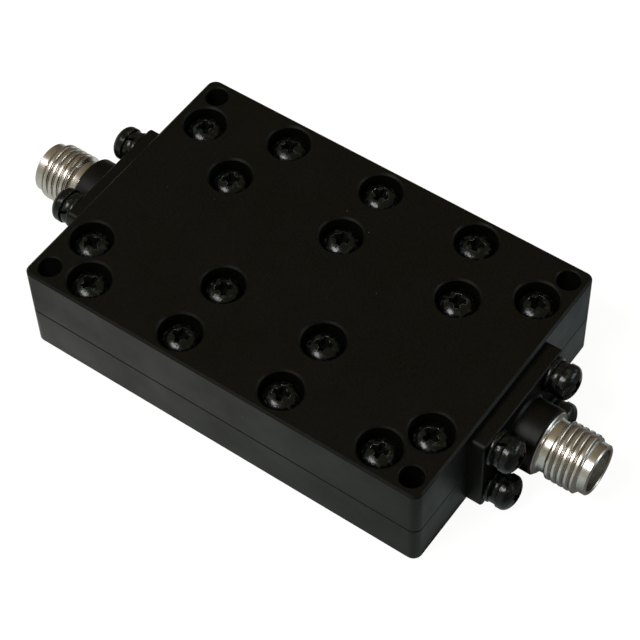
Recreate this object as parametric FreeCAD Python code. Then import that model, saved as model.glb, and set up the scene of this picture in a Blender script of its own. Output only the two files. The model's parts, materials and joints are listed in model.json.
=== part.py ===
import FreeCAD, Part
import math
import os

# High-pass filter module: a black split metal block with a screw-on coaxial
# jack at each end. The block holds a printed strip circuit that hangs in a
# milled channel between the two halves.
# Millimetres. The origin is the centre of the block's bottom face, +X runs from
# the input jack to the output jack and +Z points out of the cover.

V = FreeCAD.Vector

# Block
block_length = 48.0
block_width = 32.0
block_height = 11.4
seam_height = 5.25            # the jacks' axis lies in the seam
corner_radius = 1.0
edge_bevel = 0.25
seam_bevel = 0.12
end_wall = 3.0                # from the block's end face to the channel

# Mounting holes through both halves
mount_edge = 2.0              # from the block's sides to each hole's centre
mount_hole_radius = 1.25
hole_bevel = 0.12

# Pan-head screws, one size for the cover and the jack flanges
shank_radius = 1.0
head_radius = 1.9
head_height = 1.6
head_side = 0.55              # straight part of the head's side
head_shoulder_radius = 1.58   # where the steep and the flat part of the dome meet
head_shoulder_height = 1.15
head_crown_radius = 0.85
recess_reach = 1.0            # centre to the end of one recess arm
recess_floor_reach = 0.45
recess_width = 0.6
recess_depth = 1.0
thread_play = 0.02            # radial, between a shank and its tapped hole
shank_clearance = 0.12        # radial, between a shank and a plain hole
tip_room = 0.4                # empty end of a tapped hole past the screw

# Cover screws, in rows along the block's long sides and along the channel
cover_screw_length = 8.0
counterbore_radius = 2.3
counterbore_depth = 2.0
counterbore_bevel = 0.2
outer_row_edge = 3.0          # from the block's long sides
inner_row_wall = 3.4          # from the channel's walls
far_outer_x = 11.7
far_inner_x = 14.1
near_x = 6.15
near_corner_end = 6.3         # from the block's end face
far_pair_end = 3.3
far_pair_edge = 5.8
near_pair_end = 3.2
near_pair_edge = 7.2

# Jacks, measured out from the block's end face
flange_width = 14.4
flange_height = 10.4
flange_thickness = 1.7
flange_corner = 0.6
flange_bevel = 0.12
shoulder_radius = 3.6
shoulder_length = 3.2
shoulder_root = 0.25          # cone where the shoulder grows out of the flange
shoulder_bevel = 0.3
relief_radius = 2.85
relief_length = 0.95
thread_radius = 3.175         # quarter-inch coupling thread, over its crests
thread_length = 3.65
thread_bevel = 0.3
pilot_radius = 2.75
pilot_length = 1.0
pilot_bevel = 0.15
mouth_radius = 2.3
mouth_depth = 1.9

# Flange screws and their washers
flange_screw_spacing_y = 10.3
flange_screw_spacing_z = 6.6
flange_screw_length = 6.0
flange_screw_turns = (20, 3, 40, 15)
flat_washer_radius = 1.9
flat_washer_thickness = 0.5
spring_washer_radius = 1.75
spring_washer_thickness = 0.9
spring_washer_gap = 0.35
spring_washer_gap_slant = 25.0
washer_clearance = 0.1

# Insulator and centre contact of each jack
insulator_radius = 2.05
insulator_neck = 0.6          # rear end of the insulator that grips the contact
contact_radius = 0.635
contact_tail_radius = 0.46
contact_setback = 0.1         # behind the insulator's front face
socket_radius = 0.47
socket_depth = 3.0
slot_width = 0.22
slot_length = 2.2
tab_reach = 2.1               # flat tab that lies on the feed strip
press_gap = 0.01              # radial, between pieces pressed together

# Channel and its side pockets, milled half into each half of the block
channel_width = 5.0
channel_air = 1.3             # above and below the board
channel_corner = 0.5
pocket_width = 4.0
pocket_reach = 10.2           # from the channel's centre line
node_spacing = 6.5            # along X, from one shunt stub to the next
ledge = 0.8                   # rim of the board that the halves clamp

# Board and printed foil
board_thickness = 0.254
foil_thickness = 0.035
board_play = 0.05
board_end_gap = 0.3
strip_width = 1.4
strip_overlap = 1.0           # a strip over the next one makes a series capacitor
stub_width = 0.5
solder_length = 1.7
solder_width = 1.3
solder_height = 0.62
solder_slope = 0.25

# Dowel pins that line the halves up
dowel_radius = 0.75
dowel_length = 4.0
dowel_play = 0.01
dowel_end_room = 0.2
left_dowel_end = 7.6          # from the block's left end face
left_dowel_edge = 4.4         # from its far long side
right_dowel_end = 12.1
right_dowel_edge = 2.8

# Sizes that follow from those above
half_length = block_length / 2
half_width = block_width / 2
channel_half_length = half_length - end_wall
board_stack = board_thickness + 2 * foil_thickness
board_floor = seam_height - board_stack
tap_radius = shank_radius + thread_play
plain_hole_radius = shank_radius + shank_clearance
head_seat = block_height - counterbore_depth
washer_stack = flat_washer_thickness + spring_washer_thickness
shoulder_end = flange_thickness + shoulder_length
thread_start = shoulder_end + relief_length
thread_end = thread_start + thread_length
jack_front = thread_end + pilot_length
mating_plane = jack_front - mouth_depth
strip_half_length = (node_spacing + strip_overlap) / 2
far_pockets = (-node_spacing, node_spacing)
near_pockets = (-2 * node_spacing, 0.0, 2 * node_spacing)
mount_x = half_length - mount_edge
mount_y = half_width - mount_edge
left_dowel_place = (left_dowel_end - half_length, half_width - left_dowel_edge)
right_dowel_place = (half_length - right_dowel_end, right_dowel_edge - half_width)

# Cover screws: x, y and the turn of the recess in degrees
outer_row = half_width - outer_row_edge
inner_row = channel_width / 2 + inner_row_wall
cover_screw_places = [(0.0, outer_row, 85), (0.0, inner_row, 6)]
for x, y, right_turn, left_turn in (
    (far_outer_x, outer_row, 19, 47),
    (far_inner_x, inner_row, 27, 31),
    (half_length - far_pair_end, half_width - far_pair_edge, 89, 39),
    (near_x, -inner_row, 15, 36),
    (half_length - near_pair_end, near_pair_edge - half_width, 68, 58),
    (near_x, -outer_row, 14, 9),
    (half_length - near_corner_end, -outer_row, 7, 72),
):
    cover_screw_places.append((x, y, right_turn))
    cover_screw_places.append((-x, y, left_turn))


def box(x0, x1, y0, y1, z0, z1):
    return Part.makeBox(x1 - x0, y1 - y0, z1 - z0, V(x0, y0, z0))


def joined(shapes):
    whole = shapes[0]
    if len(shapes) > 1:
        whole = whole.fuse(shapes[1:])
    return whole.removeSplitter()


def vertical_edges(shape):
    found = []
    for edge in shape.Edges:
        ends = [v.Point for v in edge.Vertexes]
        if len(ends) == 2 and abs(ends[0].z - ends[1].z) > 1e-6:
            if math.hypot(ends[0].x - ends[1].x, ends[0].y - ends[1].y) < 1e-6:
                found.append(edge)
    return found


def edges_at_height(shape, z):
    return [e for e in shape.Edges if all(abs(v.Z - z) < 1e-6 for v in e.Vertexes)]


def turned(profile):
    """Solid of revolution about Z from closed (radius, z) points."""
    points = [V(r, 0, z) for r, z in profile]
    face = Part.Face(Part.makePolygon(points + points[:1]))
    return face.revolve(V(0, 0, 0), V(0, 0, 1), 360)


def to_jack(shape, side):
    """Move a shape whose +Z is a jack's outward axis onto the block's end face."""
    placed = shape.copy()
    placed.rotate(V(0, 0, 0), V(0, 1, 0), 90)
    placed.translate(V(half_length, 0, seam_height))
    if side < 0:
        placed.rotate(V(0, 0, 0), V(0, 0, 1), 180)
    return placed


# Outline of the channel with its pockets, grown on each side by a margin

def channel_outline(margin, z0, z1, half_run):
    reach = pocket_reach + margin
    half_pocket = pocket_width / 2 + margin
    half_channel = channel_width / 2 + margin
    runs = [box(-half_run, half_run, -half_channel, half_channel, z0, z1)]
    for x in far_pockets:
        runs.append(box(x - half_pocket, x + half_pocket, 0, reach, z0, z1))
    for x in near_pockets:
        runs.append(box(x - half_pocket, x + half_pocket, -reach, 0, z0, z1))
    whole = joined(runs)
    return whole.makeFillet(channel_corner, vertical_edges(whole))


# The two halves of the block

def block_half(z0, z1, outer_z, seam_z):
    half = box(-half_length, half_length, -half_width, half_width, z0, z1)
    half = half.makeFillet(corner_radius, vertical_edges(half))
    half = half.makeChamfer(edge_bevel, edges_at_height(half, outer_z))
    return half.makeChamfer(seam_bevel, edges_at_height(half, seam_z))


def mounting_hole_tool(x, y):
    r = mount_hole_radius
    wide = r + hole_bevel
    top = block_height
    tool = turned([(0, 0), (wide, 0), (r, hole_bevel), (r, top - hole_bevel), (wide, top), (0, top)])
    tool.translate(V(x, y, 0))
    return tool


def mounting_hole_tools():
    return [mounting_hole_tool(x, y) for x in (-mount_x, mount_x) for y in (-mount_y, mount_y)]


def cover_screw_tool(x, y):
    """Counterbore and plain hole for one screw, down to the seam."""
    top = block_height
    wide = counterbore_radius + counterbore_bevel
    tool = turned([
        (0, seam_height), (plain_hole_radius, seam_height), (plain_hole_radius, head_seat),
        (counterbore_radius, head_seat), (counterbore_radius, top - counterbore_bevel),
        (wide, top), (0, top),
    ])
    tool.translate(V(x, y, 0))
    return tool


def tapped_hole_tool(x, y):
    bottom = head_seat - cover_screw_length - tip_room
    return Part.makeCylinder(tap_radius, seam_height - bottom, V(x, y, bottom))


def launch_bore_tool(side):
    """Round passage for the insulator through one end wall."""
    return to_jack(Part.makeCylinder(insulator_radius + board_play, end_wall, V(0, 0, -end_wall)), side)


def flange_screw_spots():
    """Jack-frame positions of the four flange screws: local X is down, local Y is across."""
    half_y = flange_screw_spacing_y / 2
    half_z = flange_screw_spacing_z / 2
    return [(-half_z, -half_y), (-half_z, half_y), (half_z, -half_y), (half_z, half_y)]


def flange_tap_tools(side):
    head_base = flange_thickness + washer_stack
    depth = flange_screw_length - head_base + tip_room
    return [to_jack(Part.makeCylinder(tap_radius, depth, V(x, y, -depth)), side) for x, y in flange_screw_spots()]


def dowel_hole_tool(place):
    length = dowel_length + 2 * dowel_end_room
    return Part.makeCylinder(dowel_radius + dowel_play, length, V(place[0], place[1], seam_height - length / 2))


def shared_tools():
    tools = mounting_hole_tools()
    for side in (-1, 1):
        tools.append(launch_bore_tool(side))
        tools.extend(flange_tap_tools(side))
    tools.append(dowel_hole_tool(left_dowel_place))
    tools.append(dowel_hole_tool(right_dowel_place))
    return tools


def base_half():
    half = block_half(0, seam_height, 0, seam_height)
    tools = shared_tools()
    tools.append(channel_outline(0, board_floor - channel_air, seam_height, channel_half_length))
    tools.append(channel_outline(ledge, board_floor, seam_height, channel_half_length))
    tools.extend(tapped_hole_tool(x, y) for x, y, turn in cover_screw_places)
    return half.cut(tools)


def cover_half():
    half = block_half(seam_height, block_height, block_height, seam_height)
    tools = shared_tools()
    tools.append(channel_outline(0, seam_height, seam_height + channel_air, channel_half_length))
    tools.extend(cover_screw_tool(x, y) for x, y, turn in cover_screw_places)
    return half.cut(tools)


# Screws and washers, head up, with the seat of the head at z = 0

def screw_head():
    return turned([
        (0, 0), (head_radius, 0), (head_radius, head_side), (head_shoulder_radius, head_shoulder_height),
        (head_crown_radius, head_height), (0, head_height),
    ])


def recess_arm():
    """One of the two crossed slots, narrowing to its floor."""
    floor_z = head_height - recess_depth
    points = [
        V(-recess_reach, 0, head_height), V(-recess_floor_reach, 0, floor_z),
        V(recess_floor_reach, 0, floor_z), V(recess_reach, 0, head_height),
    ]
    face = Part.Face(Part.makePolygon(points + points[:1]))
    arm = face.extrude(V(0, recess_width, 0))
    arm.translate(V(0, -recess_width / 2, 0))
    return arm


def pan_screw(length, turn):
    shank = Part.makeCylinder(shank_radius, length, V(0, 0, -length))
    arm = recess_arm()
    crossed = recess_arm()
    crossed.rotate(V(0, 0, 0), V(0, 0, 1), 90)
    screw = joined([screw_head(), shank]).cut([arm, crossed])
    screw.rotate(V(0, 0, 0), V(0, 0, 1), turn)
    return screw


def flat_washer():
    hole = shank_radius + washer_clearance
    ring = Part.makeCylinder(flat_washer_radius, flat_washer_thickness)
    return ring.cut(Part.makeCylinder(hole, flat_washer_thickness))


def spring_washer(turn):
    """Pressed flat, with its slanted gap open."""
    t = spring_washer_thickness
    ring = Part.makeCylinder(spring_washer_radius, t)
    ring = ring.cut(Part.makeCylinder(shank_radius + washer_clearance, t))
    gap = box(0, spring_washer_radius + t, -spring_washer_gap / 2, spring_washer_gap / 2, -t, 2 * t)
    gap.rotate(V(0, 0, t / 2), V(1, 0, 0), spring_washer_gap_slant)
    ring = ring.cut(gap)
    ring.rotate(V(0, 0, 0), V(0, 0, 1), turn)
    return ring


def cover_screws():
    screws = []
    for x, y, turn in cover_screw_places:
        screw = pan_screw(cover_screw_length, turn)
        screw.translate(V(x, y, head_seat))
        screws.append(screw)
    return Part.makeCompound(screws)


def on_flange(pieces, height, side):
    """Set one piece on each flange screw's axis, that far out from the block's end face."""
    placed = []
    for piece, spot in zip(pieces, flange_screw_spots()):
        piece.translate(V(spot[0], spot[1], height))
        placed.append(to_jack(piece, side))
    return Part.makeCompound(placed)


def flange_screws(side):
    screws = [pan_screw(flange_screw_length, side * turn) for turn in flange_screw_turns]
    return on_flange(screws, flange_thickness + washer_stack, side)


def flange_flat_washers(side):
    return on_flange([flat_washer() for turn in flange_screw_turns], flange_thickness, side)


def flange_spring_washers(side):
    washers = [spring_washer(3 * turn) for turn in flange_screw_turns]
    return on_flange(washers, flange_thickness + flat_washer_thickness, side)


# Jacks, built with +Z as the outward axis and z = 0 on the block's end face

def jack_shell():
    """Flange, shoulder and threaded barrel, turned and milled from one bar."""
    plate = box(-flange_height / 2, flange_height / 2, -flange_width / 2, flange_width / 2, 0, flange_thickness)
    plate = plate.makeFillet(flange_corner, vertical_edges(plate))
    plate = plate.makeChamfer(flange_bevel, edges_at_height(plate, flange_thickness))
    root_radius = shoulder_radius + shoulder_root
    barrel = turned([
        (0, 0), (root_radius, 0), (root_radius, flange_thickness),
        (shoulder_radius, flange_thickness + shoulder_root), (shoulder_radius, shoulder_end - shoulder_bevel),
        (shoulder_radius - shoulder_bevel, shoulder_end), (relief_radius, shoulder_end),
        (relief_radius, thread_start), (thread_radius - thread_bevel, thread_start),
        (thread_radius, thread_start + thread_bevel), (thread_radius, thread_end - thread_bevel),
        (thread_radius - thread_bevel, thread_end), (pilot_radius, thread_end),
        (pilot_radius, jack_front - pilot_bevel), (pilot_radius - pilot_bevel, jack_front), (0, jack_front),
    ])
    bore = turned([
        (0, 0), (insulator_radius + press_gap, 0), (insulator_radius + press_gap, mating_plane),
        (mouth_radius, mating_plane), (mouth_radius, jack_front), (0, jack_front),
    ])
    holes = [Part.makeCylinder(plain_hole_radius, flange_thickness, V(x, y, 0)) for x, y in flange_screw_spots()]
    return joined([plate, barrel]).cut([bore] + holes)


def insulator():
    rear = -end_wall
    hole = contact_radius + press_gap
    neck_hole = contact_tail_radius + press_gap
    neck_end = rear + insulator_neck
    return turned([
        (neck_hole, rear), (insulator_radius, rear), (insulator_radius, mating_plane),
        (hole, mating_plane), (hole, neck_end), (neck_hole, neck_end),
    ])


def centre_contact():
    """Slotted socket in front, round body, and a half-round tab behind."""
    rear = -end_wall
    front = mating_plane - contact_setback
    body_start = rear + insulator_neck
    body = turned([
        (0, rear), (contact_tail_radius, rear), (contact_tail_radius, body_start),
        (contact_radius, body_start), (contact_radius, front - contact_setback),
        (contact_radius - contact_setback, front), (socket_radius, front),
        (socket_radius, front - socket_depth), (0, front - socket_depth),
    ])
    slot = box(-contact_radius, contact_radius, -slot_width / 2, slot_width / 2, front - slot_length, front)
    crossed = slot.copy()
    crossed.rotate(V(0, 0, 0), V(0, 0, 1), 90)
    tab = Part.makeCylinder(contact_tail_radius, tab_reach, V(0, 0, rear - tab_reach))
    below = box(0, contact_radius, -contact_radius, contact_radius, rear - tab_reach, rear)
    return joined([body.cut([slot, crossed]), tab.cut(below)])


def solder_joint(side):
    """Sloped bead that holds the tab on the feed strip."""
    middle = -end_wall - board_end_gap - solder_length / 2
    top_x = -solder_height

    def rectangle(x, length, width):
        points = [V(x, y * width / 2, middle + z * length / 2) for y, z in ((-1, -1), (1, -1), (1, 1), (-1, 1))]
        return Part.makePolygon(points + points[:1])

    shrink = 2 * solder_slope
    bead = Part.makeLoft([
        rectangle(0, solder_length, solder_width),
        rectangle(top_x, solder_length - shrink, solder_width - shrink),
    ], True)
    tab = Part.makeCylinder(contact_tail_radius, tab_reach, V(0, 0, -end_wall - tab_reach))
    return to_jack(bead.cut(tab), side)


# Board and printed foil

def board_blank(z0, z1):
    run = channel_half_length - board_end_gap
    return channel_outline(ledge - board_play, z0, z1, run)


def substrate_board():
    low = board_floor + foil_thickness
    return board_blank(low, low + board_thickness)


def clamped_rails(z0, z1):
    """Ground rails of foil along both long sides of the board, under the halves' grip."""
    run = channel_half_length + end_wall
    return board_blank(z0, z1).cut(channel_outline(0, z0, z1, run)).Solids


def resonator(x, direction, z0, z1):
    """One line section with the shunt stub that grounds it at the end of its pocket."""
    half_strip = strip_width / 2
    tip = pocket_reach + ledge / 2
    strip = box(x - strip_half_length, x + strip_half_length, -half_strip, half_strip, z0, z1)
    low, high = sorted((0, direction * tip))
    stub = box(x - stub_width / 2, x + stub_width / 2, low, high, z0, z1)
    return joined([strip, stub])


def foil_layer(z0, nodes, direction, feeds):
    """Rails, grounded resonators and feed strips of one side of the board."""
    z1 = z0 + foil_thickness
    grounded = []
    islands = []
    for rail in clamped_rails(z0, z1):
        if rail.CenterOfMass.y * direction > 0:
            grounded.append(rail)
        else:
            islands.append(rail)
    grounded.extend(resonator(x, direction, z0, z1) for x in nodes)
    islands.append(joined(grounded))
    islands.extend(box(a, b, -strip_width / 2, strip_width / 2, z0, z1) for a, b in feeds)
    return Part.makeCompound([solid for piece in islands for solid in piece.Solids])


def lower_foil():
    return foil_layer(board_floor, near_pockets, -1, [])


def upper_foil():
    outer = channel_half_length - board_end_gap
    inner = 2 * node_spacing + strip_half_length - strip_overlap
    feeds = [(-outer, -inner), (inner, outer)]
    return foil_layer(seam_height - foil_thickness, far_pockets, 1, feeds)


def dowel_pin(place):
    bottom = seam_height - dowel_length / 2
    pin = Part.makeCylinder(dowel_radius, dowel_length, V(place[0], place[1], bottom))
    ends = edges_at_height(pin, bottom) + edges_at_height(pin, bottom + dowel_length)
    return pin.makeChamfer(dowel_end_room, ends)


# Every piece by name

pieces = {
    "base_half": base_half(),
    "cover_half": cover_half(),
    "cover_screws": cover_screws(),
    "substrate_board": substrate_board(),
    "upper_foil": upper_foil(),
    "lower_foil": lower_foil(),
    "left_dowel_pin": dowel_pin(left_dowel_place),
    "right_dowel_pin": dowel_pin(right_dowel_place),
}
for name, side in (("input", -1), ("output", 1)):
    pieces[name + "_jack_shell"] = to_jack(jack_shell(), side)
    pieces[name + "_insulator"] = to_jack(insulator(), side)
    pieces[name + "_centre_contact"] = to_jack(centre_contact(), side)
    pieces[name + "_solder_joint"] = solder_joint(side)
    pieces[name + "_flange_screws"] = flange_screws(side)
    pieces[name + "_flat_washers"] = flange_flat_washers(side)
    pieces[name + "_spring_washers"] = flange_spring_washers(side)

os.makedirs("parts", exist_ok=True)
for name, shape in pieces.items():
    shape.exportStep("parts/" + name + ".step")
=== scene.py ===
import json
import math

import bmesh
import bpy
from mathutils import Matrix, Quaternion, Vector
from mathutils.geometry import tessellate_polygon


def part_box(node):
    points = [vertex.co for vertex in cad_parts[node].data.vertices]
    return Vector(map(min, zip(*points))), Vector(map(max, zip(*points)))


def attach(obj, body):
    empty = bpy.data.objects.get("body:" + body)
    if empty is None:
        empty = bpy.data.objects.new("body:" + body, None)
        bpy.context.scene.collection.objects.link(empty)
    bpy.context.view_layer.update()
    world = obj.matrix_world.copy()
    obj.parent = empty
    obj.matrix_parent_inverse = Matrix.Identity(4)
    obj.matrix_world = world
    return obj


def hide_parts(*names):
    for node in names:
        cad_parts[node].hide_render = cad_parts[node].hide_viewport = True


# Looks of the high-pass filter module. Lengths below are millimetres, in the
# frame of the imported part, and become metres when a mesh is made. Angles are
# degrees.

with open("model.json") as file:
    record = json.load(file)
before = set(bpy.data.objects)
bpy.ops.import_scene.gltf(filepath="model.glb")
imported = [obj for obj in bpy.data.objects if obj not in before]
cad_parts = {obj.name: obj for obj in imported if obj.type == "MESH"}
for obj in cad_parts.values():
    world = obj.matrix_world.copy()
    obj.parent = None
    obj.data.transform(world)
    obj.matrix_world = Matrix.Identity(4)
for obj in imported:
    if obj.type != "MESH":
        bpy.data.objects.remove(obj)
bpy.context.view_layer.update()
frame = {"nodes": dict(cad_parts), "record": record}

MM = 0.001
SIDES = {"input": -1, "output": 1}
mounts = {mount["name"]: mount for mount in frame["record"]["mounts"]}


def box_mm(node):
    """Lowest and highest corner of a node at rest, in millimetres."""
    low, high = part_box(node)
    return low / MM, high / MM


cover_high = box_mm("cover_half")[1]
shell_low, shell_high = box_mm("output_jack_shell")
port = mounts["output_port"]
mouth = mounts["output_port_mouth"]

# Places and sizes that the frame gives
end_face = cover_high.x
jack_axis_z = port["pos_m"][2] / MM
flange_width = shell_high.y - shell_low.y
flange_height = shell_high.z - shell_low.z
jack_front = shell_high.x - end_face
thread_radius = port["dims"]["r_mm"]
mouth_radius = mouth["dims"]["r_mm"]
mating_plane = jack_front - mouth["dims"]["length_mm"]

# Jack, measured out from the block's end face. The form of its thread is pairs of a
# place, 0 on a crest's middle and 1 in the groove's bottom, and the height there.
flange_thickness = 1.7
flange_corner = 0.6
flange_bevel = 0.12
flange_hole_radius = 1.12
flange_hole_steps = 32
flange_corner_steps = 6
shoulder_radius = 3.6
shoulder_length = 3.2
shoulder_root = 0.25
shoulder_bevel = 0.3
shoulder_paint_edge = 0.19
relief_radius = 2.85
relief_length = 0.95
relief_fillet = 0.3
fillet_steps = 5
thread_length = 3.65
thread_pitch = 25.4 / 36
thread_depth = 0.36
thread_lead_in = 0.3
thread_phase = 0.58
thread_rows_per_turn = 20
thread_form = ((0.0, 1.0), (0.4, 0.985), (0.52, 0.92), (0.8, 0.60), (1.0, 0.0))
pilot_radius = 2.75
pilot_bevel = 0.15
mouth_lip = 0.1
bore_radius = 2.06
round_steps = 192

# Pan-head screw
shank_radius = 1.0
shank_root_radius = 0.8
shank_pitch = 0.4
shank_rows_per_turn = 8
shank_tip = 0.25
shank_tip_radius = 0.3
head_radius = 1.9
head_height = 1.6
head_side = 0.55
head_foot_bevel = 0.06
head_arc_steps = 16
recess_depth = 1.0
recess_reach = 1.0
recess_floor_reach = 0.45
recess_width = 0.6
recess_core_radius = 0.62
recess_core_steps = 16
recess_edge = 0.06
screw_steps = 64
screw_sharp_angle = 35.0

# Washers, with the turns of the four on a jack
washer_hole_radius = 1.1
washer_edge = 0.06
washer_sharp_angle = 50.0
flat_turns = (0, 0, 0, 0)
flat_washer_steps = 64
spring_gap = 0.35
spring_gap_slant = 25.0
spring_turns = (60, 195, 120, 15)
spring_washer_steps = 60

# Camera, solved from the block's straight edges in the photograph
camera_place = Vector((79.22, -102.43, 178.57))
camera_forward = Vector((-0.3599, 0.4732, -0.8041))
camera_roll = -2.3
camera_lens = 118.5
sensor_width = 36.0

# Meshes: how near points merge, how short an edge is removed, and how near is level
merge_distance = 1e-4
recess_merge_distance = 2e-3
sliver_length = 1e-5
level_tolerance = 1e-3

# Material slots: a jack shell's two, and a screw's last two
PAINTED_SLOT = 0
BARE_SLOT = 1
RECESS_SHADE_SLOT = 1
WORN_SLOT = 2

# Axes as numbers
X_AXIS = 0
Z_AXIS = 2

# Range that nearly all values of a noise texture lie in
NOISE_RANGE = (0.3, 0.7)


# Mesh helpers

def new_object(name, vertices, faces, materials, face_slots=None, sharp_angle=30.0):
    """A piece from points in millimetres, smooth except over sharp edges. Equal points merge."""
    mesh = bpy.data.meshes.new(name)
    mesh.from_pydata([Vector(v) * MM for v in vertices], [], faces)
    mesh.validate()
    tidy = bmesh.new()
    tidy.from_mesh(mesh)
    bmesh.ops.remove_doubles(tidy, verts=tidy.verts, dist=merge_distance * MM)
    bmesh.ops.dissolve_degenerate(tidy, edges=tidy.edges, dist=sliver_length * MM)
    bmesh.ops.recalc_face_normals(tidy, faces=tidy.faces)
    tidy.to_mesh(mesh)
    tidy.free()
    for material in materials:
        mesh.materials.append(material)
    if face_slots:
        for polygon in mesh.polygons:
            polygon.material_index = face_slots(polygon.center / MM)
    mesh.polygons.foreach_set("use_smooth", [True] * len(mesh.polygons))
    mesh.set_sharp_from_angle(angle=math.radians(sharp_angle))
    made = bpy.data.objects.new(name, mesh)
    bpy.context.scene.collection.objects.link(made)
    return made


def ring(radius, height, steps=round_steps):
    """Points of a level circle round the axis."""
    points = []
    for i in range(steps):
        turn = 2 * math.pi * i / steps
        points.append((radius * math.cos(turn), radius * math.sin(turn), height))
    return points


def thread_form_height(off_crest):
    """Height of the thread form, 1 at the middle of a crest and 0 at the bottom of a groove."""
    for (near, high), (far, low) in zip(thread_form, thread_form[1:]):
        if off_crest <= far:
            return high + (low - high) * (off_crest - near) / (far - near)
    return 0.0


def thread_rows(crest, root, pitch, start, end, lead_in, phase, steps, rows_per_turn):
    """Rows along a right-handed helix, one turn each, clipped to the stretch from start to end."""
    rows = []
    count = int(math.ceil((end - start) / pitch)) + 1
    for row in range(-rows_per_turn, count * rows_per_turn + 1):
        points = []
        for i in range(steps + 1):
            share = i / steps
            height = start + pitch * (row / rows_per_turn + share)
            height = min(max(height, start), end)
            wave = (height - start) / pitch - share + phase
            off_crest = abs(2.0 * (wave - math.floor(wave)) - 1.0)
            radius = root + (crest - root) * thread_form_height(off_crest)
            edge = min(height - start, end - height) / lead_in
            radius = min(radius, root + (crest - root) * min(1.0, edge))
            turn = 2 * math.pi * share
            points.append((radius * math.cos(turn), radius * math.sin(turn), height))
        rows.append(points)
    return rows


def skin(rings, first=0, closed=True):
    """Vertices and quads that join equal rings, across the seam too where they are closed."""
    vertices = [point for points in rings for point in points]
    faces = []
    steps = len(rings[0])
    for row in range(len(rings) - 1):
        low = first + row * steps
        for i in range(steps if closed else steps - 1):
            j = (i + 1) % steps
            faces.append((low + i, low + j, low + steps + j, low + steps + i))
    return vertices, faces


def threaded_skin(below, rows, above):
    """Skin of a thread between two stacks of rings, on whose nearest rings it ends."""
    vertices, faces = skin(below)
    for rings, closed in ((rows, False), (above, True)):
        more_vertices, more_faces = skin(rings, len(vertices), closed)
        vertices += more_vertices
        faces += more_faces
    return vertices, faces


def solids_of(node):
    """Corner points of each separate solid of a node, in millimetres."""
    shape = bmesh.new()
    shape.from_mesh(frame["nodes"][node].data)
    bmesh.ops.remove_doubles(shape, verts=shape.verts, dist=merge_distance * MM)
    left = set(shape.verts)
    found = []
    while left:
        todo = [left.pop()]
        solid = []
        while todo:
            vertex = todo.pop()
            solid.append(vertex.co / MM)
            for edge in vertex.link_edges:
                other = edge.other_vert(vertex)
                if other in left:
                    left.discard(other)
                    todo.append(other)
        found.append(solid)
    shape.free()
    return found


def middle_of(points):
    """Middle of the box round some points, and its lowest and highest corner."""
    low = Vector([min(p[i] for p in points) for i in range(3)])
    high = Vector([max(p[i] for p in points) for i in range(3)])
    return (low + high) / 2, low, high


def sorted_solids(node):
    """A node's solids in an order that doesn't depend on the mesh."""
    def place(solid):
        return tuple(round(c, 1) for c in middle_of(solid)[0])

    return sorted(solids_of(node), key=place)


def stand(piece, node):
    """Let a piece stand for a node and on the only body."""
    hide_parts(node)
    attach(piece, "root")


# Materials

def node_material(name):
    """New material with its node tree, its shader and the object coordinates."""
    material = bpy.data.materials.new(name)
    material.use_nodes = True
    tree = material.node_tree
    shader = tree.nodes["Principled BSDF"]
    place = tree.nodes.new("ShaderNodeTexCoord")
    return material, tree, shader, place.outputs["Object"]


def noise(tree, place, size, detail=3.0, roughness=0.55, stretch=(1, 1, 1)):
    """Noise with features of about that size in millimetres, stretched along the axes."""
    mapping = tree.nodes.new("ShaderNodeMapping")
    mapping.inputs["Scale"].default_value = [1 / s for s in stretch]
    tree.links.new(place, mapping.inputs["Vector"])
    texture = tree.nodes.new("ShaderNodeTexNoise")
    texture.inputs["Scale"].default_value = 1 / (size * MM)
    texture.inputs["Detail"].default_value = detail
    texture.inputs["Roughness"].default_value = roughness
    tree.links.new(mapping.outputs["Vector"], texture.inputs["Vector"])
    return texture.outputs["Fac"]


def spread(tree, value, source, target=(0.0, 1.0)):
    """Map a value from one range to another, held at the ends."""
    step = tree.nodes.new("ShaderNodeMapRange")
    limits = zip(("From Min", "From Max", "To Min", "To Max"), (*source, *target))
    for name, limit in limits:
        step.inputs[name].default_value = limit
    tree.links.new(value, step.inputs["Value"])
    return step.outputs["Result"]


def ramp(tree, value, start, end):
    """0 to 1 between two places in millimetres, held at the ends."""
    return spread(tree, value, (start * MM, end * MM))


def times(tree, first, second):
    """Product of two values."""
    step = tree.nodes.new("ShaderNodeMath")
    step.operation = "MULTIPLY"
    tree.links.new(first, step.inputs[0])
    tree.links.new(second, step.inputs[1])
    return step.outputs["Value"]


def blend_colours(tree, share, first, second):
    """Colour that goes from first to second. Each is a colour or a socket."""
    step = tree.nodes.new("ShaderNodeMix")
    step.data_type = "RGBA"
    tree.links.new(share, step.inputs["Factor"])
    for socket, value in ((step.inputs[6], first), (step.inputs[7], second)):
        if hasattr(value, "is_linked"):
            tree.links.new(value, socket)
        else:
            socket.default_value = (*value, 1.0)
    return step.outputs[2]


def bumps(tree, shader, layers):
    """Stack bump layers, each a height, its depth in millimetres and its strength."""
    normal = None
    for height, depth, strength in layers:
        step = tree.nodes.new("ShaderNodeBump")
        step.inputs["Distance"].default_value = depth * MM
        step.inputs["Strength"].default_value = strength
        tree.links.new(height, step.inputs["Height"])
        if normal:
            tree.links.new(normal, step.inputs["Normal"])
        normal = step.outputs["Normal"]
    tree.links.new(normal, shader.inputs["Normal"])


def split_axes(tree, vector):
    """The vector's X, Y and Z as separate values."""
    step = tree.nodes.new("ShaderNodeSeparateXYZ")
    tree.links.new(vector, step.inputs["Vector"])
    return step.outputs


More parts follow.
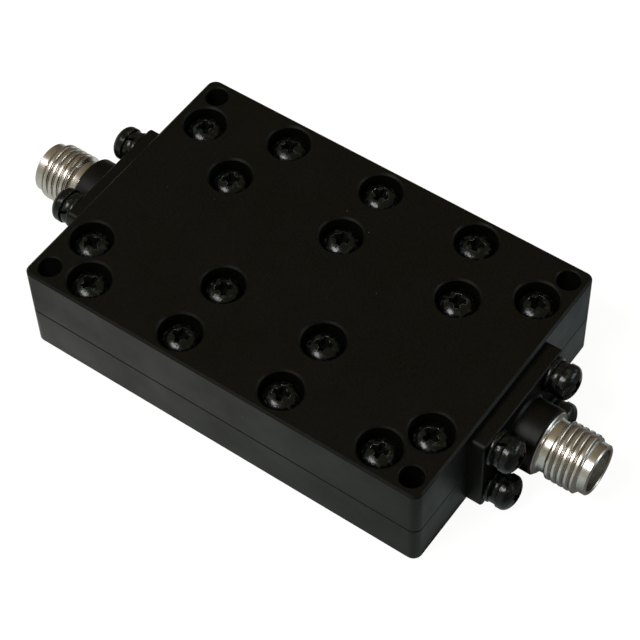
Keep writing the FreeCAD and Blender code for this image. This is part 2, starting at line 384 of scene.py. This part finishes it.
def specks(tree, place, spacing, size, share):
    """Scattered round specks in a share of the cells of a random grid: 1 on a speck, 0 off it."""
    texture = tree.nodes.new("ShaderNodeTexVoronoi")
    texture.inputs["Scale"].default_value = 1 / (spacing * MM)
    tree.links.new(place, texture.inputs["Vector"])
    edge = size / spacing
    near = spread(tree, texture.outputs["Distance"], (edge, 0.6 * edge))
    split = tree.nodes.new("ShaderNodeSeparateColor")
    tree.links.new(texture.outputs["Color"], split.inputs["Color"])
    chosen = spread(tree, split.outputs["Red"], (share, 0.9 * share))
    return times(tree, near, chosen)


def black_paint():
    """Semi-matt black paint with fine grain, faint mottling and pale dust."""
    material, tree, shader, place = node_material("black_paint")
    pit_black = (0.0, 0.0, 0.0)
    warm_black = (0.0046, 0.0048, 0.0025)
    dust_grey = (0.12, 0.12, 0.12)
    grain = noise(tree, place, size=0.16, detail=4.0, roughness=0.6)
    mottle = noise(tree, place, size=5.0)
    tone = blend_colours(tree, spread(tree, grain, NOISE_RANGE), pit_black, warm_black)
    dust = specks(tree, place, spacing=1.7, size=0.07, share=0.25)
    along_block = split_axes(tree, place)["X"]
    more_to_the_right = spread(tree, along_block, (-end_face * MM, end_face * MM), (0.15, 1.0))
    tone = blend_colours(tree, times(tree, dust, more_to_the_right), tone, dust_grey)
    tree.links.new(tone, shader.inputs["Base Color"])
    tree.links.new(spread(tree, mottle, NOISE_RANGE, (0.40, 0.52)), shader.inputs["Roughness"])
    shader.inputs["Specular IOR Level"].default_value = 0.15
    bumps(tree, shader, [(mottle, 0.02, 0.3), (grain, 0.012, 0.6)])
    return material


def turned_steel():
    """Bare stainless steel with fine turning rings round the jack's axis."""
    material, tree, shader, place = node_material("turned_steel")
    clean, stained = (0.62, 0.60, 0.57), (0.50, 0.46, 0.42)
    rings = noise(tree, place, size=0.2, detail=2.0, roughness=0.5, stretch=(1, 40, 40))
    stain = noise(tree, place, size=1.6)
    tone = blend_colours(tree, spread(tree, stain, (0.35, 0.7)), clean, stained)
    tree.links.new(tone, shader.inputs["Base Color"])
    tree.links.new(spread(tree, rings, NOISE_RANGE, (0.23, 0.30)), shader.inputs["Roughness"])
    shader.inputs["Metallic"].default_value = 1.0
    bumps(tree, shader, [(rings, 0.001, 0.06), (stain, 0.01, 0.2)])
    return material


def own_place(tree, place):
    """Shift the pattern by a different amount on each object, so that no two look alike."""
    info = tree.nodes.new("ShaderNodeObjectInfo")
    shift = tree.nodes.new("ShaderNodeVectorMath")
    shift.operation = "ADD"
    tree.links.new(place, shift.inputs[0])
    tree.links.new(info.outputs["Random"], shift.inputs[1])
    return shift.outputs["Vector"]


def black_steel():
    """Glossy black finish of the screws and washers, with rubbed spots."""
    material, tree, shader, place = node_material("black_steel")
    deep_black, rubbed = (0.0014, 0.0022, 0.0019), (0.016, 0.022, 0.020)
    place = own_place(tree, place)
    rub = noise(tree, place, size=0.45, detail=2.0, roughness=0.5)
    fine = noise(tree, place, size=0.12)
    tone = blend_colours(tree, spread(tree, rub, (0.53, 0.70)), deep_black, rubbed)
    tree.links.new(tone, shader.inputs["Base Color"])
    tree.links.new(spread(tree, rub, NOISE_RANGE, (0.16, 0.30)), shader.inputs["Roughness"])
    shader.inputs["Specular IOR Level"].default_value = 0.31
    bumps(tree, shader, [(rub, 0.06, 0.6), (fine, 0.002, 0.5)])
    return material


def worn_edge():
    """Rim of a screw's recess, where the black is rubbed through in places."""
    material, tree, shader, place = node_material("worn_edge")
    black, bare = (0.003, 0.004, 0.004), (0.34, 0.38, 0.38)
    wear = noise(tree, own_place(tree, place), size=0.5, detail=2.0)
    tone = blend_colours(tree, spread(tree, wear, (0.50, 0.60)), black, bare)
    tree.links.new(tone, shader.inputs["Base Color"])
    tree.links.new(spread(tree, wear, NOISE_RANGE, (0.35, 0.2)), shader.inputs["Roughness"])
    shader.inputs["Metallic"].default_value = 0.6
    bumps(tree, shader, [(wear, 0.01, 0.5)])
    return material


def plain_finish(name, light, dark, grain_size, roughness, metallic=0.0, specular=0.5):
    """Finish of a plain piece: two tones, uneven roughness and a fine grain."""
    material, tree, shader, place = node_material(name)
    patch = noise(tree, place, size=1.2)
    grain = noise(tree, place, grain_size)
    tone = blend_colours(tree, spread(tree, patch, (0.35, 0.65)), light, dark)
    tree.links.new(tone, shader.inputs["Base Color"])
    tree.links.new(spread(tree, grain, NOISE_RANGE, roughness), shader.inputs["Roughness"])
    shader.inputs["Metallic"].default_value = metallic
    shader.inputs["Specular IOR Level"].default_value = specular
    bumps(tree, shader, [(grain, 0.004, 0.5)])
    return material


paint = black_paint()
steel = turned_steel()
dark_steel = black_steel()
worn_steel = worn_edge()
# Painted shade: the insides of the screws' recesses get a dull near-black of their own, darker and
# less glossy than the head's black, standing in for the shade inside them.
recess_painted_shade = plain_finish(
    "recess_painted_shade", (0.004, 0.004, 0.004), (0.002, 0.002, 0.002), 0.1, (0.75, 0.9), specular=0.05)
gold = plain_finish(
    "gold_plate", (0.83, 0.60, 0.25), (0.74, 0.50, 0.20), 0.1, (0.18, 0.3), metallic=1.0)
white_plastic = plain_finish(
    "white_fluoropolymer", (0.80, 0.79, 0.75), (0.74, 0.73, 0.69), 0.2, (0.45, 0.6))
laminate = plain_finish(
    "board_laminate", (0.62, 0.58, 0.47), (0.56, 0.52, 0.41), 0.15, (0.55, 0.7))
copper = plain_finish(
    "copper_foil", (0.80, 0.42, 0.26), (0.68, 0.33, 0.20), 0.12, (0.25, 0.4), metallic=1.0)
solder = plain_finish(
    "solder", (0.62, 0.62, 0.63), (0.5, 0.5, 0.52), 0.2, (0.3, 0.45), metallic=1.0)
ground_steel = plain_finish(
    "ground_steel", (0.6, 0.6, 0.6), (0.5, 0.5, 0.5), 0.08, (0.2, 0.3), metallic=1.0)

node_finish = {
    "base_half": paint,
    "cover_half": paint,
    "substrate_board": laminate,
    "upper_foil": copper,
    "lower_foil": copper,
    "left_dowel_pin": ground_steel,
    "right_dowel_pin": ground_steel,
}
for end in SIDES:
    node_finish[end + "_insulator"] = white_plastic
    node_finish[end + "_centre_contact"] = gold
    node_finish[end + "_solder_joint"] = solder
for node, finish in node_finish.items():
    for material_slot in frame["nodes"][node].material_slots:
        material_slot.material = finish


# Jack shells

def rounded_rectangle(width, height, corner, level):
    """Closed outline, width along X and height along Y."""
    points = []
    for quarter, (sx, sy) in enumerate(((1, 1), (-1, 1), (-1, -1), (1, -1))):
        for step in range(flange_corner_steps + 1):
            turn = math.pi / 2 * (quarter + step / flange_corner_steps)
            x = sx * (width / 2 - corner) + corner * math.cos(turn)
            y = sy * (height / 2 - corner) + corner * math.sin(turn)
            points.append((x, y, level))
    return points


def flange_hole_places():
    """Centres of the flange's screws in the jack's own axes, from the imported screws."""
    places = []
    for solid in solids_of("output_flange_screws"):
        middle = middle_of(solid)[0]
        places.append((jack_axis_z - middle.z, middle.y))
    return places


def flange_hole(x, y, level):
    """Outline of a flange screw's hole."""
    circle = ring(flange_hole_radius, level, flange_hole_steps)
    return [(x + px, y + py, pz) for px, py, pz in circle]


def face_with_holes(loops, loop_ids):
    """Triangles between an outline and its holes, as vertex numbers."""
    ids = [i for numbers in loop_ids for i in numbers]
    triangles = tessellate_polygon([[Vector(p) for p in loop] for loop in loops])
    return [tuple(ids[i] for i in triangle) for triangle in triangles]


def jack_shell_mesh():
    """Flange plate and barrel as one closed skin, with +Z as the outward axis."""
    shoulder_end = flange_thickness + shoulder_length
    thread_start = shoulder_end + relief_length
    thread_end = thread_start + thread_length
    root = thread_radius - thread_depth
    bevel_start = shoulder_end - shoulder_bevel
    below = [
        ring(shoulder_radius + shoulder_root, flange_thickness),
        ring(shoulder_radius, flange_thickness + shoulder_root),
        ring(shoulder_radius, bevel_start),
        ring(shoulder_radius - shoulder_paint_edge, bevel_start + shoulder_paint_edge),
        ring(shoulder_radius - shoulder_bevel, shoulder_end),
    ]
    for step in range(fillet_steps + 1):
        turn = math.pi / 2 * step / fillet_steps
        out = relief_fillet * (1 - math.sin(turn))
        up = relief_fillet * (1 - math.cos(turn))
        below.append(ring(relief_radius + out, shoulder_end + up))
    below.append(ring(root, thread_start))
    rows = thread_rows(
        thread_radius, root, thread_pitch, thread_start, thread_end, thread_lead_in, thread_phase,
        round_steps, thread_rows_per_turn)
    above = [
        ring(root, thread_end),
        ring(pilot_radius, thread_end),
        ring(pilot_radius, jack_front - pilot_bevel),
        ring(pilot_radius - pilot_bevel, jack_front),
        ring(mouth_radius + mouth_lip, jack_front),
        ring(mouth_radius, jack_front - mouth_lip),
        ring(mouth_radius, mating_plane),
        ring(bore_radius, mating_plane),
        ring(bore_radius, 0.0),
    ]
    vertices, faces = threaded_skin(below, rows, above)
    foot_ids = list(range(round_steps))
    bore_ids = list(range(len(vertices) - round_steps, len(vertices)))

    def add(points):
        first = len(vertices)
        vertices.extend(points)
        return list(range(first, first + len(points)))

    def wall(low_ids, high_ids):
        count = len(low_ids)
        for i in range(count):
            j = (i + 1) % count
            faces.append((low_ids[i], low_ids[j], high_ids[j], high_ids[i]))

    across = flange_height, flange_width
    rear = rounded_rectangle(*across, flange_corner, 0.0)
    shoulder = rounded_rectangle(*across, flange_corner, flange_thickness - flange_bevel)
    inset = [size - 2 * flange_bevel for size in across]
    front = rounded_rectangle(*inset, flange_corner - flange_bevel, flange_thickness)
    rear_ids = add(rear)
    shoulder_ids = add(shoulder)
    front_ids = add(front)
    wall(rear_ids, shoulder_ids)
    wall(shoulder_ids, front_ids)

    rear_loops, rear_loop_ids = [rear], [rear_ids]
    front_loops, front_loop_ids = [front], [front_ids]
    for x, y in flange_hole_places():
        rear_loops.append(flange_hole(x, y, 0.0))
        front_loops.append(flange_hole(x, y, flange_thickness))
        rear_loop_ids.append(add(rear_loops[-1]))
        front_loop_ids.append(add(front_loops[-1]))
        wall(rear_loop_ids[-1], front_loop_ids[-1])
    faces.extend(face_with_holes(rear_loops + [above[-1]], rear_loop_ids + [bore_ids]))
    faces.extend(face_with_holes(front_loops + [below[0]], front_loop_ids + [foot_ids]))
    return vertices, faces


def to_jack(side):
    """Turn +Z into a jack's outward axis and move it to that end face."""
    lay = Matrix.Rotation(math.radians(90), 4, "Y")
    shift = Matrix.Translation(Vector((end_face, 0, jack_axis_z)))
    flip = Matrix.Rotation(math.radians(180 if side < 0 else 0), 4, "Z")
    return flip @ shift @ lay


def painted_or_bare(centre):
    """Slot of a face: flange and shoulder are painted to a line on the bevel, the rest is bare."""
    outward = abs(centre.x) - end_face
    off_axis = math.hypot(centre.y, centre.z - jack_axis_z)
    paint_end = flange_thickness + shoulder_length - shoulder_bevel + shoulder_paint_edge
    return PAINTED_SLOT if outward < paint_end and off_axis > relief_radius else BARE_SLOT


def make_jack_shells():
    """Both jacks' shells from one mesh, each turned to its end of the block."""
    vertices, faces = jack_shell_mesh()
    for end, side in SIDES.items():
        place = to_jack(side)
        placed = [place @ Vector(v) for v in vertices]
        name = end + "_jack_shell"
        shell = new_object(name + "_turned", placed, faces, [paint, steel], painted_or_bare)
        stand(shell, name)


make_jack_shells()


# Screws

def head_profile():
    """Radius and height of the head's outside, from its foot to just short of its crown."""
    points = [(head_radius - head_foot_bevel, 0.0), (head_radius, head_foot_bevel)]
    dome = head_height - head_side
    for step in range(head_arc_steps):
        turn = math.pi / 2 * step / head_arc_steps
        points.append((head_radius * math.cos(turn), head_side + dome * math.sin(turn)))
    return points


def screw_solid(length):
    """Domed head and threaded shank in one closed skin, the head's seat at height 0."""
    rows = thread_rows(
        shank_radius, shank_root_radius, shank_pitch, -length, -shank_pitch, shank_tip, 0.0,
        screw_steps, shank_rows_per_turn)
    tip_profile = [(shank_tip_radius, -length), (shank_root_radius, -length)]
    neck_profile = [
        (shank_root_radius, -shank_pitch), (shank_radius, -shank_pitch / 2), (shank_radius, 0.0)]
    below = [ring(r, z, screw_steps) for r, z in tip_profile]
    above = [ring(r, z, screw_steps) for r, z in neck_profile + head_profile()]
    vertices, faces = threaded_skin(below, rows, above)
    tip = len(vertices)
    crown = tip + 1
    last = tip - screw_steps
    vertices += [(0, 0, -length), (0, 0, head_height)]
    for i in range(screw_steps):
        j = (i + 1) % screw_steps
        faces.append((tip, j, i))
        faces.append((last + i, last + j, crown))
    return vertices, faces


def recess_tool(kind):
    """Corners of a body that cuts the recess's core or a pair of arms, narrowing to its floor."""
    overshoot = 0.3
    floor = (0.0, head_height - recess_depth)
    opening = (1.0 + overshoot / recess_depth, head_height + overshoot)
    corners = []
    for share, z in (floor, opening):
        reach = recess_floor_reach + (recess_reach - recess_floor_reach) * share
        if kind == "core":
            radius = 0.5 * recess_core_radius * (1 + share)
            corners += [Vector(point) for point in ring(radius, z, recess_core_steps)]
            continue
        turn = Matrix.Rotation(math.radians(kind), 3, "Z")
        for sx, sy in ((-1, -1), (1, -1), (1, 1), (-1, 1)):
            corners.append(turn @ Vector((sx * reach, sy * recess_width / 2, z)))
    return corners


def cut_recess(blank):
    """Cut the cross recess with an exact boolean, then round its edges a little."""
    for kind in (0, 90, "core"):
        tool_mesh = bpy.data.meshes.new("recess_tool")
        tool = bmesh.new()
        corners = [tool.verts.new(corner * MM) for corner in recess_tool(kind)]
        bmesh.ops.convex_hull(tool, input=corners)
        bmesh.ops.recalc_face_normals(tool, faces=tool.faces)
        tool.to_mesh(tool_mesh)
        tool.free()
        tool_object = bpy.data.objects.new("recess_tool", tool_mesh)
        bpy.context.scene.collection.objects.link(tool_object)
        cut = blank.modifiers.new("recess", "BOOLEAN")
        cut.operation = "DIFFERENCE"
        cut.solver = "EXACT"
        cut.object = tool_object
        apply_modifiers(blank)
        bpy.data.objects.remove(tool_object)
    round_recess(blank.data)


def round_recess(mesh):
    """Bevel the sharp edges inside and round the recess."""
    whole = bmesh.new()
    whole.from_mesh(mesh)
    bmesh.ops.remove_doubles(whole, verts=whole.verts, dist=recess_merge_distance * MM)
    reach = 1.25 * recess_reach * MM
    sharp = math.radians(30)
    edges = []
    for edge in whole.edges:
        inside = all(v.co.xy.length < reach and v.co.z > 0 for v in edge.verts)
        if inside and edge.is_manifold and edge.calc_face_angle() > sharp:
            edges.append(edge)
    bmesh.ops.bevel(
        whole, geom=edges, offset=recess_edge * MM, offset_type="OFFSET", segments=2, profile=0.5,
        affect="EDGES", clamp_overlap=True, material=WORN_SLOT)
    whole.to_mesh(mesh)
    whole.free()


def apply_modifiers(piece):
    """Give the piece the mesh that its modifiers make, without them."""
    bpy.context.view_layer.update()
    graph = bpy.context.evaluated_depsgraph_get()
    baked = bpy.data.meshes.new_from_object(piece.evaluated_get(graph))
    piece.modifiers.clear()
    piece.data = baked


def in_recess(centre):
    """Whether a face lies clearly below the dome of the head, near its axis."""
    reach = 1.1 * recess_reach
    below_dome = 1.5 * recess_edge
    off_axis = centre.xy.length
    if off_axis > reach or centre.z < 0:
        return False
    dome = head_side + (head_height - head_side) * math.sqrt(1 - (off_axis / head_radius) ** 2)
    return centre.z < dome - below_dome


def screw_mesh(name, length):
    """Mesh of a finished screw, with its recess cut and its slots set."""
    vertices, faces = screw_solid(length)
    blank = new_object(name, vertices, faces, [dark_steel, recess_painted_shade, worn_steel])
    cut_recess(blank)
    mesh = blank.data
    # Faces inside the recess take the painted-shade black.
    for polygon in mesh.polygons:
        if in_recess(polygon.center / MM):
            polygon.material_index = RECESS_SHADE_SLOT
    mesh.polygons.foreach_set("use_smooth", [True] * len(mesh.polygons))
    mesh.set_sharp_from_angle(angle=math.radians(screw_sharp_angle))
    bpy.data.objects.remove(blank)
    return mesh


def recess_turn(points, middle, floor, along):
    """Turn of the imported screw's recess about its axis, from the corners of its floor."""
    u, v = [i for i in range(3) if i != along]
    total = complex(0, 0)
    for point in points:
        if abs(point[along] - floor) < level_tolerance:
            off = complex(point[u] - middle[u], point[v] - middle[v])
            if abs(off) < recess_reach:
                total += off ** 4
    return (math.atan2(total.imag, total.real) + math.pi) / 4


def place_screws(node, along, side):
    """A detailed screw for each packed one. Its turn is in its mesh, so that its box is tight."""
    mesh = None
    for number, solid in enumerate(sorted_solids(node), 1):
        middle, low, high = middle_of(solid)
        top = high[along] if side > 0 else low[along]
        tip = low[along] if side > 0 else high[along]
        seat = top - side * head_height
        if mesh is None:
            mesh = screw_mesh(node + "_mesh", abs(seat - tip))
        turn = recess_turn(solid, middle, top - side * recess_depth, along)
        if along == Z_AXIS:
            pose = Matrix.Translation(Vector((middle.x, middle.y, seat)) * MM)
        else:
            lay = Matrix.Rotation(math.radians(90 * side), 4, "Y")
            pose = Matrix.Translation(Vector((seat, middle.y, middle.z)) * MM) @ lay
        turned = mesh.copy()
        turned.transform(Matrix.Rotation(side * turn, 4, "Z"))
        screw = bpy.data.objects.new(f"{node}_{number:02d}", turned)
        bpy.context.scene.collection.objects.link(screw)
        screw.matrix_world = pose
        stand(screw, node)


place_screws("cover_screws", Z_AXIS, 1)
for end, side in SIDES.items():
    place_screws(end + "_flange_screws", X_AXIS, side)


# Washers

def washer_profile(radius, thickness):
    """Radius and height round a washer's section."""
    edge = washer_edge
    hole = washer_hole_radius
    return [
        (hole, edge), (hole + edge, 0.0), (radius - edge, 0.0), (radius, edge),
        (radius, thickness - edge), (radius - edge, thickness),
        (hole + edge, thickness), (hole, thickness - edge),
    ]


def flat_washer(radius, thickness):
    """Plain washer, its rings closed on the first one."""
    profile = washer_profile(radius, thickness)
    return skin([ring(r, z, flat_washer_steps) for r, z in profile + profile[:1]])


def spring_washer(radius, thickness):
    """Split ring whose two ends face each other across a slanted gap."""
    steps = spring_washer_steps
    profile = washer_profile(radius, thickness)
    lean = math.tan(math.radians(spring_gap_slant))
    vertices = []
    for i in range(steps + 1):
        for r, z in profile:
            half = spring_gap / 2 / r
            skew = lean * (z - thickness / 2) / r
            start = half - skew
            end = 2 * math.pi - half - skew
            turn = start + (end - start) * i / steps
            vertices.append((r * math.cos(turn), r * math.sin(turn), z))
    count = len(profile)
    faces = []
    for i in range(steps):
        for k in range(count):
            m = (k + 1) % count
            a = i * count
            b = a + count
            faces.append((a + k, a + m, b + m, b + k))
    faces.append(tuple(range(count)))
    faces.append(tuple(reversed(range(steps * count, (steps + 1) * count))))
    return vertices, faces


def place_washers(node, make, side, turns):
    """A detailed washer on the axis of each packed one."""
    for number, (solid, turn) in enumerate(zip(sorted_solids(node), turns), 1):
        middle, low, high = middle_of(solid)
        radius = (high.y - low.y) / 2
        thickness = high.x - low.x
        seat = low.x if side > 0 else high.x
        vertices, faces = make(radius, thickness)
        lay = Matrix.Rotation(math.radians(90 * side), 4, "Y")
        spin = Matrix.Rotation(math.radians(turn), 4, "X")
        pose = Matrix.Translation(Vector((seat, middle.y, middle.z))) @ spin @ lay
        placed = [pose @ Vector(v) for v in vertices]
        washer = new_object(
            f"{node}_{number}", placed, faces, [dark_steel], sharp_angle=washer_sharp_angle)
        stand(washer, node)


for end, side in SIDES.items():
    place_washers(end + "_flat_washers", flat_washer, side, flat_turns)
    place_washers(end + "_spring_washers", spring_washer, side, spring_turns)


# Floor, world, lamps and camera

def soft_box(tree, axes, x_range, y_range, soft):
    """1 inside a level rectangle in millimetres, falling to 0 over the soft length outside it."""
    inside = None
    for axis, (low, high) in (("X", x_range), ("Y", y_range)):
        for edge, outer in ((low, low - soft), (high, high + soft)):
            side = ramp(tree, axes[axis], outer, edge)
            inside = times(tree, inside, side) if inside else side
    return inside


def make_floor():
    """Pale floor, white to the camera; in the part's reflections it glows with painted light,
    brighter to the left, and with painted shadow under the jack and by the flange.
    """
    half_size = 1500.0
    floor_grey = (0.15, 0.15, 0.15)
    camera_white = (0.94, 0.94, 0.94)
    left_glow, right_glow, left_end_glow = (0.98, 1.0, 0.96), (0.38, 0.44, 0.41), (0.52, 0.56, 0.51)
    front_glow, back_glow = (0.37, 0.44, 0.42), (0.46, 0.54, 0.58)
    shaded, far_right_glow, behind_glow = (0.04, 0.04, 0.03), (0.05, 0.05, 0.05), (0.03, 0.01, 0.0)

    material, tree, shader, place = node_material("pale_floor")
    shader.inputs["Base Color"].default_value = (*floor_grey, 1)
    shader.inputs["Roughness"].default_value = 0.9
    shader.inputs["Specular IOR Level"].default_value = 0.0
    axes = split_axes(tree, place)
    x, y = axes["X"], axes["Y"]
    beside_jack = blend_colours(tree, ramp(tree, y, -15, 10), front_glow, back_glow)
    # Painted shadow: under the jack and beside the flange, the glow seen in reflections drops to
    # the shaded colour, where the floor lies in shade.
    under_jack_shadow = soft_box(tree, axes, (end_face + 2, 3 * end_face), (-4, 10), 4)
    by_flange_shadow = soft_box(
        tree, axes, (end_face - 3, end_face), (-flange_width, -0.55 * flange_width), 1)
    # Painted light: the glow seen in reflections is brighter to the left and falls off to the
    # right, darker past the right jack and behind the block.
    reflected = blend_colours(tree, ramp(tree, x, -end_face, end_face), left_glow, right_glow)
    for share, colour in (
        (ramp(tree, x, -end_face - 1, -end_face - 5), left_end_glow),
        (ramp(tree, x, end_face, end_face + 5), beside_jack),
        (under_jack_shadow, shaded),
        (by_flange_shadow, shaded),
        (ramp(tree, x, end_face + 6, end_face + 10), far_right_glow),
        (ramp(tree, y, cover_high.y, 2.5 * cover_high.y), behind_glow),
    ):
        reflected = blend_colours(tree, share, reflected, colour)
    rays = tree.nodes.new("ShaderNodeLightPath")
    glow = blend_colours(tree, rays.outputs["Is Camera Ray"], reflected, camera_white)
    tree.links.new(glow, shader.inputs["Emission Color"])
    seen = rays.outputs["Is Camera Ray"]
    for ray in ("Is Glossy Ray", "Is Transmission Ray"):
        step = tree.nodes.new("ShaderNodeMath")
        step.operation = "MAXIMUM"
        tree.links.new(seen, step.inputs[0])
        tree.links.new(rays.outputs[ray], step.inputs[1])
        seen = step.outputs["Value"]
    tree.links.new(seen, shader.inputs["Emission Strength"])
    square = ((-1, -1), (1, -1), (1, 1), (-1, 1))
    corners = [(sx * half_size, sy * half_size, 0) for sx, sy in square]
    floor = new_object("pale_floor", corners, [(0, 1, 2, 3)], [material])


def make_world():
    """Pale in front, brown behind and overhead, with a cool strip of window low to the right."""
    front_pale, back_brown = (0.50, 0.52, 0.45), (0.09, 0.06, 0.05)
    right_grey = (0.10, 0.11, 0.12)
    overhead_brown = (0.27, 0.23, 0.15)
    window_blue = (0.75, 0.93, 1.0)

    world = bpy.data.worlds.new("studio")
    bpy.context.scene.world = world
    world.use_nodes = True
    tree = world.node_tree
    background = tree.nodes["Background"]
    place = tree.nodes.new("ShaderNodeTexCoord")
    axes = split_axes(tree, place.outputs["Generated"])
    x, y, z = axes["X"], axes["Y"], axes["Z"]
    around = blend_colours(tree, spread(tree, y, (-0.35, 0.35)), front_pale, back_brown)
    around = blend_colours(tree, spread(tree, x, (0.3, 0.6)), around, right_grey)
    around = blend_colours(tree, spread(tree, z, (0.0, 0.75)), around, overhead_brown)
    window = spread(tree, z, (0.02, 0.06))
    for axis, edge in ((z, (0.32, 0.26)), (x, (0.15, 0.3)), (y, (0.0, 0.15))):
        window = times(tree, window, spread(tree, axis, edge))
    colour = blend_colours(tree, window, around, window_blue)
    tree.links.new(colour, background.inputs["Color"])
    background.inputs["Strength"].default_value = 1.0


def area_lamp(name, direction, distance, length, width, power, colour=(1, 1, 1)):
    """Oval lamp that faces the block from that direction, with its length level."""
    light = bpy.data.lights.new(name, "AREA")
    light.shape = "ELLIPSE"
    light.size = length * MM
    light.size_y = width * MM
    light.energy = power
    light.color = colour
    lamp = bpy.data.objects.new(name, light)
    bpy.context.scene.collection.objects.link(lamp)
    away = Vector(direction).normalized()
    lamp.location = (Vector((0, 0, jack_axis_z)) + away * distance) * MM
    lamp.rotation_mode = "QUATERNION"
    lamp.rotation_quaternion = away.to_track_quat("Z", "Y")


def make_camera():
    """Camera of the photograph."""
    data = bpy.data.cameras.new("photo_camera")
    data.lens = camera_lens
    data.sensor_width = sensor_width
    data.clip_start = 0.01
    camera = bpy.data.objects.new("photo_camera", data)
    bpy.context.scene.collection.objects.link(camera)
    aim = camera_forward.to_track_quat("-Z", "Y")
    camera.rotation_mode = "QUATERNION"
    camera.rotation_quaternion = aim @ Quaternion((0, 0, 1), math.radians(camera_roll))
    camera.location = camera_place * MM
    bpy.context.scene.camera = camera


make_floor()
make_world()
area_lamp("key_lamp", (-0.27, -0.50, 0.845), distance=500, length=300, width=170, power=1.6)
area_lamp(
    "window_lamp", (0.82, 0.42, 0.36), distance=500, length=200, width=110, power=0.32,
    colour=(0.80, 0.93, 1.0))
make_camera()
bpy.context.scene.view_settings.view_transform = "Standard"
